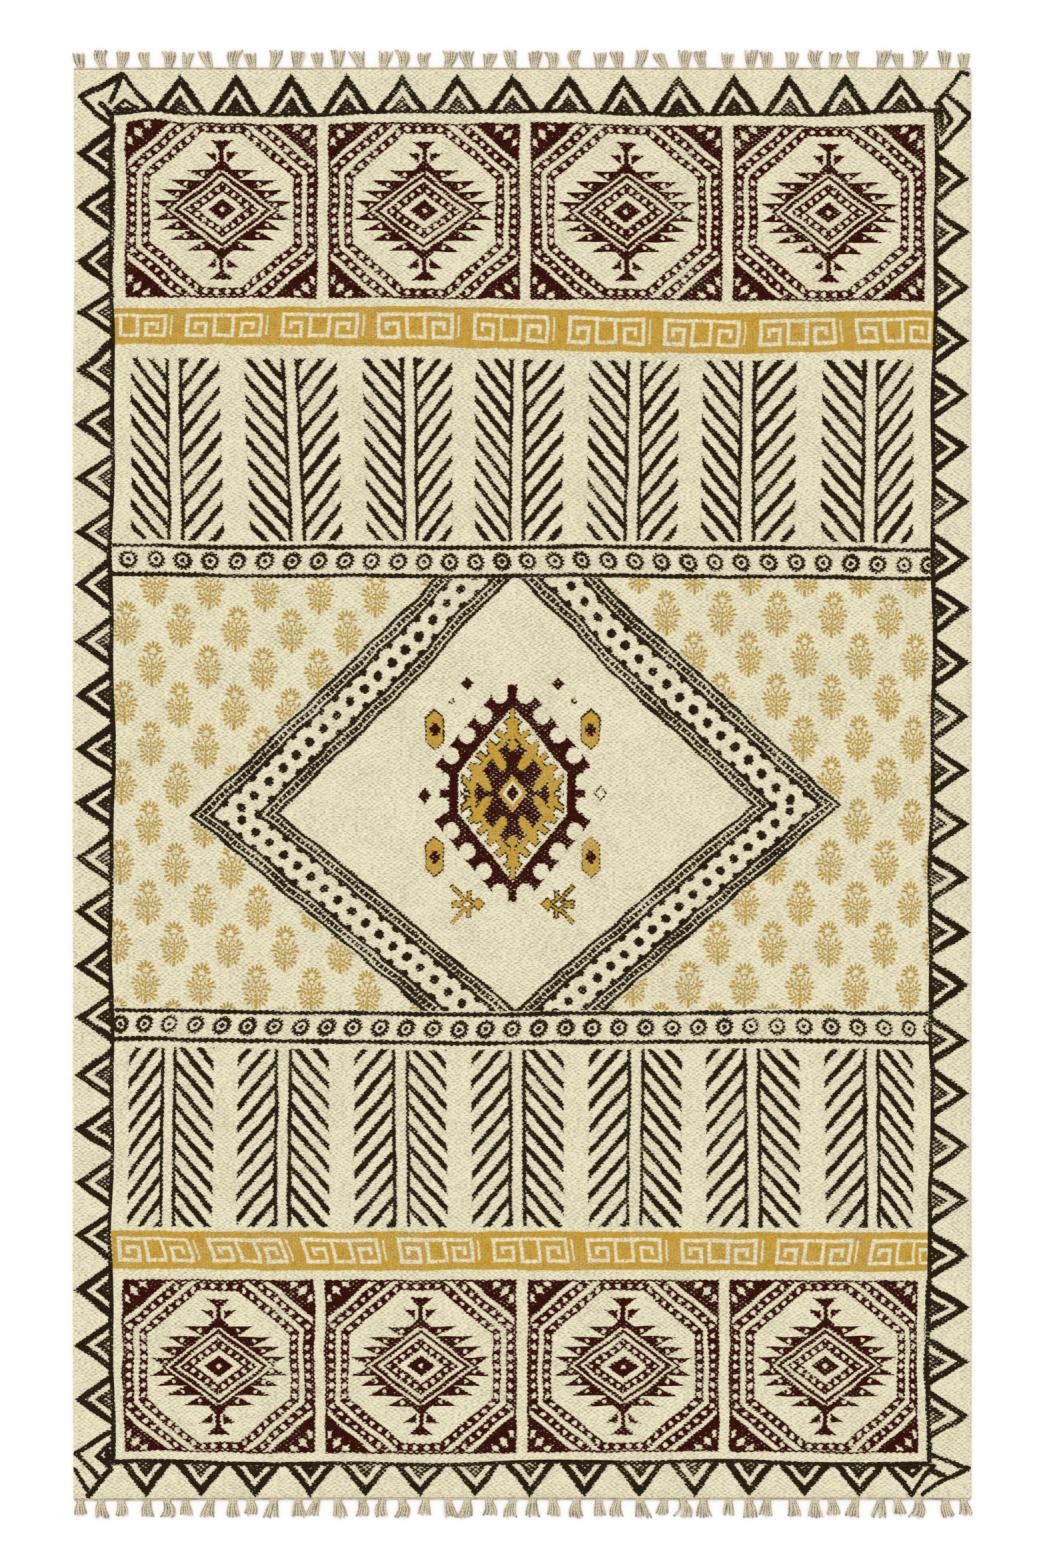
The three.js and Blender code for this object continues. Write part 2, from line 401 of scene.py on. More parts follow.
def triangle_row(x, y, half_line):
    """Outlined triangles on a line, each with a small one inside that is paler towards its middle."""
    side_length = math.hypot(BORDER.height, BORDER.half_base)
    by_x = BORDER.height / side_length
    by_y = BORDER.half_base / side_length
    side = slant(fold(x, BORDER.pitch), y, by_x, by_y, BORDER.half_base * by_x)
    outline = both(side, -BORDER.stroke - side)
    edge = side + BORDER.inner
    inner = both(edge, edge * -BORDER.paler - BORDER.palest)
    return {"black": either(both(either(outline, inner), -y), near(y, 0.0, half_line))}


def stroke(x, y, from_x, from_y, to_x, to_y, half):
    """A straight stroke with round ends."""
    length = math.hypot(to_x - from_x, to_y - from_y)
    by_x = (to_x - from_x) / length
    by_y = (to_y - from_y) / length
    along = slant(x, y, by_x, by_y, by_x * from_x + by_y * from_y)
    across = slant(x, y, -by_y, by_x, by_x * from_y - by_y * from_x)
    past_end = both(near(along, length / 2, length / 2), 0.0)
    return span(past_end, across) - half


def corner_strokes(x, y):
    """The four corners, side by side on one block, each with its strokes and the frame's two lines."""
    out_x = wrapped(x, CORNER_BLOCK)
    out_y = wrapped(y, CORNER_BLOCK)
    shapes = [
        both(near(out_y, 0.0, FRAME.half), out_x - FRAME.half),
        both(near(out_x, 0.0, FRAME.half), out_y - FRAME.half),
    ]
    for name, corner in CORNERS.items():
        corner_x = x - corner.column * CORNER_BLOCK
        corner_y = y - corner.row * CORNER_BLOCK
        for row in CORNER_STROKES[name]:
            shapes.append(stroke(corner_x, corner_y, **dict(zip(STROKE_COLUMNS, row))))
    return {"black": either(*shapes)}


def leaning(a, b, lean):
    """The distance out along a lean, and the distance square to it."""
    by_a, by_b = lean
    return slant(a, b, by_a, by_b), slant(a, b, by_b, -by_a)


def beaded_band(out, along, band):
    """A solid band with a row of round beads left pale in it."""
    beads = span(fold(along, band.pitch), out - band.beads) - band.radius
    return without(between(out, band.low, band.high), beads)


def tile_rings(a, b):
    """Two beaded rings of eight sides, solid corners with pale drops, and a thin rim."""
    out, along = leaning(a, b, TILE_RING.lean)
    slope = out - TILE_RING.reach
    octagon = both(slope, a - TILE_RING.half_width, b - TILE_RING.half_height)
    around = angle(b, a)
    rings = [beaded_band(octagon, around * band.turn, band) for band in TILE_RING_BANDS]
    drop_along = abs(along - TILE_DROPS.middle)
    drop_width = fold(drop_along, TILE_DROPS.pitch) * TILE_DROPS.slim
    drop_length = abs(slope - TILE_DROPS.out) * TILE_DROPS.long
    drops = both(drop_width + drop_length - TILE_DROPS.size, drop_along - TILE_DROPS.reach)
    corner = without(TILE_RING.corner - slope, drops)
    rim = either(TILE.rim_x - a, TILE.rim_y - b)
    return both(either(*rings, corner, rim), a - TILE.half_width, b - TILE.half_height)


def tile_spikes(a, b, diamond):
    """Rows of sideways spikes that grow shorter away from the middle, each with a pale eye."""
    row = calculate("WRAP", SPIKES.first - b, SPIKES.step, 0.0)
    level = b + row
    tip = a - either(*[level * -reach.fall + reach.longest for reach in SPIKE_REACHES])
    body = (tip + row * SPIKES.taper) * SPIKES.slim
    spikes = both(body, between(b, SPIKES.low, SPIKES.high), SPIKES.root - diamond)
    return without(spikes, span(row - SPIKE_EYE.up, tip + SPIKE_EYE.inwards) - SPIKE_EYE.radius)


def tile_finial(a, b):
    """The stem above the stepped diamond, with a flat crown and an arm on each side."""
    stem = box(a, b, -3.4, 3.4, 66.0, 112.0)
    foot = both(slant(a, b, 0.72, 0.69, 59.8), 67.0 - b)
    crown = both(between(b, 103.5, 117.5), slant(a, b, 0.68, -0.73, -73.0))
    arms = both(b - 97.0, slant(a, b, 0.64, -0.77, -56.9), 9.5 - a)
    return either(stem, foot, crown, arms)


def tile_heart(a, b):
    """The stepped diamond in the middle of a tile, with its spikes and the finial above and below."""
    diamond, along = leaning(a, b, TILE_HEART.lean)
    core = without(diamond - TILE_HEART.core, span(a, b) - TILE_HEART.eye)
    band = beaded_band(diamond, along, TILE_HEART_BAND)
    lines = either(*[between(diamond, low, high) for low, high in TILE_HEART.lines])
    return either(core, band, lines, tile_spikes(a, b, diamond), tile_finial(a, b))


def octagon_tiles(x, y):
    a = fold(x + TILE.pitch / 2, TILE.pitch)
    b = abs(y)
    return {"maroon": either(tile_rings(a, b), tile_heart(a, b)) + TILE.thinner}


def key_band(x, y):
    """A solid band with a squared scroll left pale in it, mirrored about each repeat's middle."""
    s = wrapped(x, KEY.pitch)
    k = abs(s)
    level = [both(near(y, at, KEY.half_line), between(k, low, high)) for at, low, high in KEY_LEVEL_BARS]
    upright = [both(near(k, at, KEY.half_line), between(y, low, high)) for at, low, high in KEY_UPRIGHT_BARS]
    scroll = either(*level, *upright, box(s, y, *KEY.stop_x, *KEY.stop_y))
    return {"mustard": without(abs(y) - KEY.half_height, scroll)}


def tree_row(x, y):
    """Feathered trees: a double stem, and strokes that rise away from it, further apart on one side."""
    s = wrapped(x, TREE.pitch)
    a = abs(s)
    stems = near(a, TREE.stem, TREE.half_stem)
    closeness = 1.0 - calculate("GREATER_THAN", s, 0.0) * TREE_STROKES.looser
    climb = slant(a, y, -TREE_STROKES.slope, 1.0, TREE_STROKES.first)
    level = 1.0 / math.hypot(1.0, TREE_STROKES.slope)
    lines = fold(climb * closeness, TREE_STROKES.step) * level - closeness * TREE_STROKES.half
    strokes = both(lines, between(a, TREE.stem - TREE.half_stem, TREE.tip))
    return {"black": both(either(stems, strokes), between(y, 0.0, TREE.height))}


def ring_row(x, y):
    """Toothed rings with a dot in each, between two lines."""
    a = wrapped(x, RING.pitch)
    radius = span(a, y)
    tooth = fold(angle(y, a), TURN / RING_TEETH.count) * radius - RING_TEETH.half
    teeth = both(tooth, between(radius, RING_TEETH.inner, RING_TEETH.outer))
    rings = either(between(radius, RING.inner, RING.outer), radius - RING.dot, teeth)
    return {"black": either(rings, near(abs(y), RING.line, RING.half_line))}


def leaf_fan(x, y, leaves, half_leaf, near_end, far_end, start=0.0):
    """Short pointed leaves that lie away from a middle."""
    out = span(x, y)
    along = out - (near_end + far_end) / 2
    taper = along * along * (LEAF_TAPER * half_leaf / (far_end - near_end) ** 2)
    leaf = fold(angle(y, x) + start, TURN / leaves) * out + taper - half_leaf
    return both(leaf, between(out, near_end, far_end))


def sprig_flower(x, y, a):
    """A fan of petals over a small round cup with two horns."""
    petals = both(leaf_fan(y - 21.5, a, 12, 1.3, 6.2, 15.8), 20.0 - y)
    cup = near(span(x, y - 12.0), 4.6, 0.5)
    return either(petals, cup, stroke(a, y, 4.0, 14.5, 7.4, 17.4, 0.8))


def sprig(x, y):
    """A flower over a stem with two sprays of small leaves to each side."""
    a = abs(x)
    high_x, high_y = a - 8.5, y + 2.5
    high = both(leaf_fan(high_x, high_y, 10, 1.3, 9.0, 16.0, 0.1), 8.0 - a, -10.0 - y)
    high_inner = both(leaf_fan(high_x, high_y, 6, 0.9, 2.8, 7.2, 0.3), 2.2 - a)
    low_x, low_y = a - 4.5, y + 19.0
    low = both(leaf_fan(low_x, low_y, 10, 1.3, 8.4, 15.0, 0.25), 6.0 - a, y + 11.5)
    low_inner = both(leaf_fan(low_x, low_y, 6, 0.9, 2.6, 6.6), 1.8 - a)
    twigs = either(stroke(a, y, 0.0, -11.0, 16.0, -1.0, 0.3), stroke(a, y, 0.0, -28.0, 13.0, -20.0, 0.3))
    stem = either(box(x, y, -0.6, 0.6, -32.0, 8.0), both(a - 1.8, between(y, -38.0, -29.0)))
    return either(sprig_flower(x, y, a), high, high_inner, low, low_inner, twigs, stem)


def sprig_field(x, y):
    """Sprigs in staggered rows: a place belongs to whichever of the two sets is nearer."""
    first_x = wrapped(x, SPRIG.across)
    first_y = wrapped(y, SPRIG.along)
    second_x = wrapped(x + SPRIG.across / 2, SPRIG.across)
    second_y = wrapped(y + SPRIG.along / 2, SPRIG.along)
    far = slant(abs(first_x), abs(first_y), 2 / SPRIG.across, 2 / SPRIG.along)
    second = calculate("GREATER_THAN", far, 1.0)
    along_x = calculate("MULTIPLY_ADD", second, second_x - first_x, first_x)
    along_y = calculate("MULTIPLY_ADD", second, second_y - first_y, first_y)
    return sprig(along_x, along_y)


def sprigs_only(x, y, sprig_x, sprig_y):
    return {"ochre": sprig_field(sprig_x, sprig_y)}


def diamond_frame(x, y, sprig_x, sprig_y):
    """The great diamond's dotted band between double lines, with sprigs outside it."""
    out, along = leaning(abs(x), abs(y), DIAMOND.lean)
    upper = calculate("MULTIPLY_ADD", y, 1 / DIAMOND_BAND.change, 0.5, clamp=True)
    squeeze = DIAMOND_BAND.depth / DIAMOND_BAND.low_depth
    depth = (DIAMOND.reach - out) * (upper * (1 - squeeze) + squeeze)
    across = abs(depth - DIAMOND_BAND.depth / 2)
    line_places = (DIAMOND_LINES.outer, DIAMOND_LINES.inner)
    lines = [near(across, place, DIAMOND_LINES.half) for place in line_places]
    hatch = both(
        near(across, DIAMOND_LINES.hatch, DIAMOND_LINES.half_hatch),
        fold(along, DIAMOND_LINES.hatch_pitch) - DIAMOND_LINES.half_hatch,
    )
    pitch = DIAMOND_DOTS.pitch
    dots = span(fold(along, pitch), across) - DIAMOND_DOTS.radius
    between_dots = fold(along + pitch / 2, pitch)
    half_dots = span(between_dots, across - DIAMOND_DOTS.half_out) - DIAMOND_DOTS.half_radius
    return {
        "ochre": both(sprig_field(sprig_x, sprig_y), depth + DIAMOND_BAND.sprig_gap),
        "black": either(*lines, hatch, dots, both(half_dots, across - DIAMOND_DOTS.half_limit)),
    }


def medallion_rim(a, b, edge, hexagon, along):
    """The six-sided rim, with flared teeth left standing between round bites."""
    bites = span(fold(along + 72.0, 44.0), edge - 27.0) - 14.6
    side_bites = span(a - 119.0, b - 21.0) - 14.0
    teeth = both(between(hexagon, 12.0, 37.8), -either(bites, side_bites), between(along, -115.0, 60.0))
    stubs = either(box(a, b, -7.0, 7.0, 150.0, 184.0), box(a, b, 100.0, 122.0, -6.0, 6.0))
    return either(between(hexagon, 0.0, 13.5), teeth, stubs)


def medallion_leaves(a, b, hexagon, along):
    """Leaves inside the rim: fingers towards it, lobes towards the middle, and a bud at each end."""
    fingers = both(fold(along + 15.3, 24.6) - 4.6, between(hexagon, -30.0, -7.5))
    band = between(hexagon, -31.0, -21.5)
    lean = slant(along, hexagon, 1.0, 0.3, -41.8)
    past_end = both(near(hexagon, -36.0, 15.0), 0.0)
    lobes = both(span(fold(lean, 44.0), past_end) - 8.8, between(b, 4.5, 88.0))
    sides = box(a, b, 60.0, 78.0, 5.5, 22.0)
    bud_stem = box(a, b, -4.0, 4.0, 84.0, 145.0)
    bud = either(bud_stem, span(a, b - 81.0) - 9.0, box(a, b, -9.0, 9.0, 98.0, 121.0))
    return either(fingers, band, lobes, sides, bud)


def medallion_star(out, up):
    """A pierced star below the medallion, out from its middle line: a head, arms and two rays."""
    wide = abs(out)
    body = slant(wide, up, 0.62, 0.85, 11.0)
    head = slant(abs(out + 18.0), up, 0.75, 0.75, 8.5)
    arms = either(box(out, up, 8.0, 27.0, -1.0, 6.0), box(out, up, -6.0, 0.5, 8.0, 22.5))
    rays = both(
        abs(slant(out, up, 0.73, -0.68, -2.3)) - 3.2,
        slant(out, up, 0.68, 0.73, 41.5),
        -out,
    )
    return without(either(body, head, arms, rays), slant(wide, up, 0.57, 0.83, 5.2))


def medallion_marks(x, y, a):
    """Small marks about the medallion: diamonds above and beside it, and thin broken ones."""
    above = slant(abs(a - 77.0), abs(y - 186.0), 0.75, 0.75, 8.0)
    beside = slant(abs(x + 148.5), abs(y + 4.0), 0.75, 0.6, 7.6)
    faint = both(abs(slant(abs(x - 148.5), abs(y), 0.75, 0.6, 7.0)) - 0.5, -0.3)
    hooks = both(near(span(a - 104.0, y - 157.0), 3.8, 0.8), slant(a, y, 0.7, 0.7, 184.0))
    return either(above, beside), either(faint, hooks)


def medallion(x, y):
    a = abs(x)
    b = abs(y)
    out, along = leaning(a, b, MEDALLION.lean)
    edge = out - MEDALLION.reach
    hexagon = both(edge, a - MEDALLION.half_width)
    aside = abs(a - 132.5)
    above = abs(b - 108.0)
    lozenge = both(aside - 15.3, slant(aside, above, 0.6, 0.66, 22.8))
    cross = either(both(aside - 4.2, above - 10.5), both(aside - 8.5, above - 4.5))
    star = medallion_star(a - 76.6, abs(y + 188.0))
    leaves = medallion_leaves(a, b, hexagon, along)
    heart = slant(a, b, 0.79, 0.61, 19.0)
    branches = both(hexagon + 31.0, 1.6 - leaves, 1.2 - heart, -0.9)
    marks, thin_marks = medallion_marks(x, y, a)
    rim = medallion_rim(a, b, edge, hexagon, along)
    outline = abs(leaves - 0.7) - 0.3
    return {
        "mustard": either(leaves, between(heart, -5.0, 0.0), lozenge, star),
        "maroon": either(branches, rim, heart + 11.0, cross, marks),
        "black": either(abs(lozenge) - 0.3, abs(star) - 0.2, outline, thin_marks),
    }


MOTIFS = {
    "border": partial(triangle_row, half_line=FRAME.half),
    "thin": partial(triangle_row, half_line=FRAME.half_thin),
    "corner": corner_strokes,
    "tiles": octagon_tiles,
    "keys": key_band,
    "trees": tree_row,
    "rings": ring_row,
    "sprigs": sprigs_only,
    "diamond": diamond_frame,
    "medallion": medallion,
    "plain": None,
}
SLOTS = list(MOTIFS)
STEADIEST = {"trees": 2.0, "keys": 2.4, "rings": 1.6, "medallion": 2.0}
UNSTEADY = {name: 3.0 for name in MOTIFS} | {"diamond": 3.4} | STEADIEST
TWO_PLACES = ("sprigs", "diamond")


# Where a face of the cloth lies on its printing block


def border_place(row, x, y):
    along, across = (x, y) if row.level else (y, x)
    out = (across - row.line) * row.way
    return (along - row.apex) * BORDER.pitch / row.pitch, out * BORDER.height / row.height


def block_place(block, x, y):
    return (x - block.x) * block.across, (y - block.y - block.tilt * x) * block.along


def field_place(x, y):
    """A place from the great diamond's middle, with the diamond's own tilt, heights and top corner."""
    across = x - DIAMOND.x
    up = y - DIAMOND.y - DIAMOND.tilt * across
    raised = np.interp(abs(across), DIAMOND_PEAK.across, DIAMOND_PEAK.raised)
    peak = raised * np.clip(up / DIAMOND_PEAK.above, 0, 1)
    return across, up * np.where(up > 0, DIAMOND.high, DIAMOND.low) - peak


def corner_place(x, y):
    out_x = np.where(x < 0, FRAME.left - x, x - FRAME.right + CORNER_BLOCK)
    out_y = np.where(y > 0, y - FRAME.top, FRAME.bottom - y + CORNER_BLOCK)
    return out_x, out_y


PLACES = {
    "corner": corner_place,
    "sprigs": field_place,
    "diamond": field_place,
    **{name: partial(border_place, row) for name, row in BORDER_ROWS.items()},
    **{name: partial(block_place, block) for name, block in BLOCKS.items()},
}
ZONES = {name: number for number, name in enumerate(PLACES)}


def sprig_place(x, y):
    """Where the sprigs' own rows put a place: each side of the rug has rows of its own."""
    sides = []
    for rows in SPRIG_ROWS.values():
        across = x - rows.x - rows.lean * y
        up = (y - rows.y - rows.tilt * (x - rows.middle)) * SPRIG.along / rows.along
        sides.append(np.stack([across, up], -1))
    return np.where((x < 0)[..., None], *sides)


def field_zone(x, y):
    """Within the field: sprigs, the diamond's band, the medallion, or plain cloth."""
    across, up = field_place(x, y)
    by_across, by_up = DIAMOND.lean
    depth = DIAMOND.reach - by_across * abs(across) - by_up * abs(up)
    central = (abs(x - MEDALLION.x) < MEDALLION_ZONE.x) & (abs(y - MEDALLION.y) < MEDALLION_ZONE.y)
    inside = np.where(central, ZONES["medallion"], ZONES["plain"])
    zone = np.where(depth > -DIAMOND_BAND.margin, ZONES["diamond"], ZONES["sprigs"])
    return np.where(depth > DIAMOND_BAND.low_depth + DIAMOND_BAND.margin, inside, zone)


def in_corner(x, y):
    """Whether a place is one of the rug's corners: past one line of the frame, and near the other."""
    block_x, block_y = corner_place(x, y)
    found = np.zeros(x.shape, dtype=bool)
    for corner in CORNERS.values():
        out_x = block_x - corner.column * CORNER_BLOCK
        out_y = block_y - corner.row * CORNER_BLOCK
        past_end = (out_y > -FRAME.half) & (out_x > -corner.inner_across)
        past_side = (out_x > -FRAME.half) & (out_y > -corner.inner_along)
        own_quarter = ((x > 0) == corner.column) & ((y < 0) == corner.row)
        found |= own_quarter & (past_end | past_side)
    return found


def zones_of(x, y):
    """The zone of each face, from where the face's middle lies."""
    zone = np.full(x.shape, ZONES["plain"])
    low = FRAME.bottom + FRAME.half
    for name, high in BANDS:
        inside = (y > low) & (y < high)
        chosen = field_zone(x, y) if name == "field" else ZONES[name]
        zone = np.where(inside, chosen, zone)
        low = high
    zone = np.where(x < FRAME.left + FRAME.half, ZONES["border_left"], zone)
    zone = np.where(x > FRAME.right - FRAME.half, ZONES["border_right"], zone)
    zone = np.where(y > FRAME.top - FRAME.half, ZONES["thin_top"], zone)
    zone = np.where(y < FRAME.bottom + FRAME.half, ZONES["border_bottom"], zone)
    return np.where(in_corner(x, y), ZONES["corner"], zone)


# The cloth's mesh


def bump(value, middle, width):
    return np.exp(-(((value - middle) / width) ** 2))


def key_bend(x, y):
    """The upper key band's bend, from its lower edge's to its upper edge's, and none at its neighbours."""
    lower = np.interp(x, KEY_BEND["across"], KEY_BEND["lower"])
    upper = np.interp(x, KEY_BEND["across"], KEY_BEND["upper"])
    low = BLOCKS["keys_high"].y - KEY.half_height
    high = BLOCKS["keys_high"].y + KEY.half_height
    share = np.clip((y - low) / (high - low), 0, 1)
    within = np.interp(y, (KEY_BEND_FADE.below, low, high, KEY_BEND_FADE.above), (0, 1, 1, 0))
    return within * (lower + share * (upper - lower))


def tree_shift(row, x, y):
    """How far a row of trees is set aside from an even spacing, with each tree's own lean."""
    stops = [-TREE_ENDS, *TREE_PLACES, TREE_ENDS]
    shift = np.interp(x, stops, [0, *row.shift, 0])
    lean = np.interp(x, stops, [0, *row.lean, 0]) / 1000
    within = np.clip((TREE_FADE.out - abs(y - row.middle)) / TREE_FADE.over, 0, 1)
    return within * (shift + lean * (y - row.middle) * row.way)


def waver(line, along):
    """How far a printed line strays from straight, at places along it."""
    slow = line.slow * np.sin(along / line.length + line.start)
    quick = line.quick * np.sin(along / line.quick_length + line.quick_start)
    return slow + quick + line.tilt * along + line.shift


def hand_shift(x, y):
    """How far the printer's hand sets each place of the print from an even layout, across and up."""
    across = sum(bump(x, line.at, line.reach) * waver(line, y) for line in UPRIGHT_LINES)
    across = across + sum(tree_shift(row, x, y) for row in TREE_ROWS)
    up = sum(bump(y, line.at, line.reach) * waver(line, x) for line in LEVEL_LINES)
    rise = FRAME_RISE.height * bump(x, FRAME_RISE.x, FRAME_RISE.half_width)
    return across, up + key_bend(x, y) + rise * bump(y, FRAME.top, FRAME_RISE.reach)


def grid_lines(breaks):
    """Lines about a grid step apart, with one on each break."""
    pieces = []
    breaks = sorted(breaks)
    for low, high in zip(breaks, breaks[1:]):
        count = max(1, round((high - low) / CLOTH.grid))
        pieces.append(np.linspace(low, high, count, endpoint=False))
    return np.concatenate(pieces + [[breaks[-1]]])


def draw_in(side, place, half):
    return np.interp(place / (2 * half) + 0.5, DRAW_IN["along"], DRAW_IN[side])


def outlined(x, y):
    """Places on an even rectangle, moved so that its edges follow the cloth's own edges."""
    left = draw_in("left", y, CLOTH.half_length)
    right = draw_in("right", y, CLOTH.half_length)
    bottom = draw_in("bottom", x, CLOTH.half_width)
    top = draw_in("top", x, CLOTH.half_width)
    reach_x = np.clip((abs(x) - FRAME.right) / (CLOTH.half_width - FRAME.right), 0, 1)
    reach_y = np.clip((abs(y) - FRAME.top) / (CLOTH.half_length - FRAME.top), 0, 1)
    return (
        x + reach_x * np.where(x < 0, left, -right),
        y + reach_y * np.where(y < 0, bottom, -top),
    )


def set_uv(mesh, name, places):
    layer = mesh.uv_layers.new(name=name)
    layer.data.foreach_set("uv", np.ascontiguousarray(places, dtype=np.float32).ravel())


def edge_loop(rows, columns):
    """The grid's outer vertices in order, anticlockwise from the bottom left corner."""
    index = np.arange(rows * columns).reshape(rows, columns)
    sides = (index[0, :-1], index[:-1, -1], index[-1, :0:-1], index[:0:-1, 0])
    return np.concatenate(sides)


def cloth_breaks():
    """Where the mesh needs a line, across the cloth and along it: rims, frame, bands and corners."""
    across = [-CLOTH.half_width, -CLOTH.half_width + RIM.width, FRAME.left + FRAME.half]
    across += [FRAME.right - FRAME.half, CLOTH.half_width - RIM.width, CLOTH.half_width]
    along = [-CLOTH.half_length, -CLOTH.half_length + RIM.width, FRAME.bottom + FRAME.half]
    along += [high for _, high in BANDS]
    along += [CLOTH.half_length - RIM.width, CLOTH.half_length]
    for corner in CORNERS.values():
        limits_x = (FRAME.left + corner.inner_across, FRAME.right - corner.inner_across)
        limits_y = (FRAME.top - corner.inner_along, FRAME.bottom + corner.inner_along)
        across.append(limits_x[corner.column])
        along.append(limits_y[corner.row])
    return across, along


def cloth_places(even_x, even_y):
    """The printed side's places and then the underside's, from an even layout."""
    shift_x, shift_y = hand_shift(even_x, even_y)
    x, y = outlined(even_x + shift_x, even_y + shift_y)
    on_side = abs(even_x) > CLOTH.half_width - RIM.width / 2
    on_end = abs(even_y) > CLOTH.half_length - RIM.width / 2
    on_rim = on_side | on_end
    broad = np.sin(x / BROAD_WAVE.along_x + BROAD_WAVE.start) * np.sin(y / BROAD_WAVE.along_y)
    small = np.sin(x / SMALL_WAVE.along_x + y / SMALL_WAVE.along_y)
    lift = BROAD_WAVE.height * broad + SMALL_WAVE.height * small
    top = CLOTH.thickness + np.where(on_rim, -RIM.drop, lift)
    low = np.where(on_rim, RIM.lift, UNDERSIDE)
    return np.concatenate([np.stack([x, y, top], 1), np.stack([x, y, low], 1)])


def cloth_faces(rows, columns):
    """Four-sided faces of the printed side, of the underside, and of the wall round them."""
    count = rows * columns
    index = np.arange(count).reshape(rows, columns)
    corners = [index[:-1, :-1], index[:-1, 1:], index[1:, 1:], index[1:, :-1]]
    upper = np.stack(corners, -1).reshape(-1, 4)
    loop = edge_loop(rows, columns)
    following = np.roll(loop, -1)
    wall = np.stack([loop + count, following + count, following, loop], 1)
    return upper, upper[:, ::-1] + count, wall


def block_places(even, zone):
    """Each face's corners on the printing block of the face's zone."""
    block = even.copy()
    for name, number in ZONES.items():
        chosen = zone == number
        block[chosen] = np.stack(PLACES[name](even[chosen][..., 0], even[chosen][..., 1]), -1)
    return block


def cloth_mesh():
    lines_x, lines_y = (grid_lines(breaks) for breaks in cloth_breaks())
    even_x, even_y = (grid.ravel() for grid in np.meshgrid(lines_x, lines_y))
    places = cloth_places(even_x, even_y)
    upper, under, wall = cloth_faces(len(lines_y), len(lines_x))
    faces = np.concatenate([upper, under, wall])
    even = np.stack([np.tile(even_x, 2), np.tile(even_y, 2)], 1)[faces]
    zone = zones_of(*even.mean(1).T)
    zone[len(upper):] = ZONES["plain"]
    slots = np.array([SLOTS.index(name.split("_")[0]) for name in ZONES])[zone]

    mesh = bpy.data.meshes.new("woven cloth")
    mesh.from_pydata(places * MM, [], faces)
    set_uv(mesh, "cloth", places[:, :2][faces])
    set_uv(mesh, "block", block_places(even, zone))
    set_uv(mesh, "second", sprig_place(*np.moveaxis(even, -1, 0)))
    set_uv(mesh, "OFBake", bake_places(even, len(upper), len(under)))
    mesh.polygons.foreach_set("material_index", slots.astype(np.int32))
    mesh.polygons.foreach_set("use_smooth", np.ones(len(faces), dtype=bool))
    mesh.update()
    return mesh


def bake_places(even, upper, under):
    """One square for the whole surface: the printed face over nearly all of it, the rest below."""
    size = np.array([2 * CLOTH.half_width, 2 * CLOTH.half_length])
    share = even / size + 0.5
    margin = BAKE.margin
    width = 1 - 2 * margin
    beneath = upper + under
    places = np.empty_like(share)
    places[:upper] = share[:upper] * (width, BAKE.print_height) + (margin, BAKE.print_low)
    places[upper:beneath] = share[upper:beneath] * (width, BAKE_REST.under_height) + (margin, margin)
    walls = len(even) - beneath
    along = (np.arange(walls)[:, None] + np.array([0, 1, 1, 0])) / walls
    places[beneath:, :, 0] = margin + width * along
    places[beneath:, :, 1] = BAKE_REST.wall_low + BAKE_REST.wall_height * np.array([0, 0, 1, 1])
    return places


# The cotton and its inks


def new_material(name):
    material = bpy.data.materials.new(name)
    material.use_nodes = True
    tree = material.node_tree
    shader = tree.nodes["Principled BSDF"]
    return material, tree, shader


def make_matt(shader, roughness, shine):
    shader.inputs["Roughness"].default_value = roughness
    shader.inputs["Specular IOR Level"].default_value = shine


def uv_fields(tree, name):
    node = tree.nodes.new("ShaderNodeUVMap")
    node.uv_map = name
    parts = tree.nodes.new("ShaderNodeSeparateXYZ")
    tree.links.new(node.outputs["UV"], parts.inputs[0])
    return node.outputs["UV"], Field(tree, parts.outputs["X"]), Field(tree, parts.outputs["Y"])


def stretched(tree, place, by):
    """Places drawn together along X, so that whatever is laid out on them is that much longer in X."""
    node = tree.nodes.new("ShaderNodeVectorMath")
    node.operation = "MULTIPLY"
    tree.links.new(place, node.inputs[0])
    node.inputs[1].default_value = (1.0 / by, 1.0, 1.0)
    return node.outputs[0]


def noise_node(tree, place, size, detail=1.0, dimensions="2D"):
    node = tree.nodes.new("ShaderNodeTexNoise")
    node.noise_dimensions = dimensions
    node.inputs["Scale"].default_value = 1.0 / size
    node.inputs["Detail"].default_value = detail
    tree.links.new(place, node.inputs["Vector"])
    return node


def noise(tree, place, size, detail=1.0):
    """Cloudy unevenness about nought, with clouds of about that size in millimetres."""
    return Field(tree, noise_node(tree, place, size, detail).outputs[0]) - 0.5


def mixed(tree, share, first, second):
    node = tree.nodes.new("ShaderNodeMix")
    node.data_type = "RGBA"
    tree.links.new(share.socket, node.inputs["Factor"])
    for socket, colour in ((node.inputs[6], first), (node.inputs[7], second)):
        if isinstance(colour, tuple):
            socket.default_value = colour
        else:
            tree.links.new(colour, socket)
    return node.outputs[2]


def wobble(tree, place, size, reach):
    """A hand's unsteadiness, as two fields of that reach in millimetres."""
    node = noise_node(tree, place, size)
    parts = tree.nodes.new("ShaderNodeSeparateColor")
    tree.links.new(node.outputs["Color"], parts.inputs[0])
    return [(Field(tree, parts.outputs[axis]) - 0.5) * (2 * reach) for axis in ("Red", "Green")]


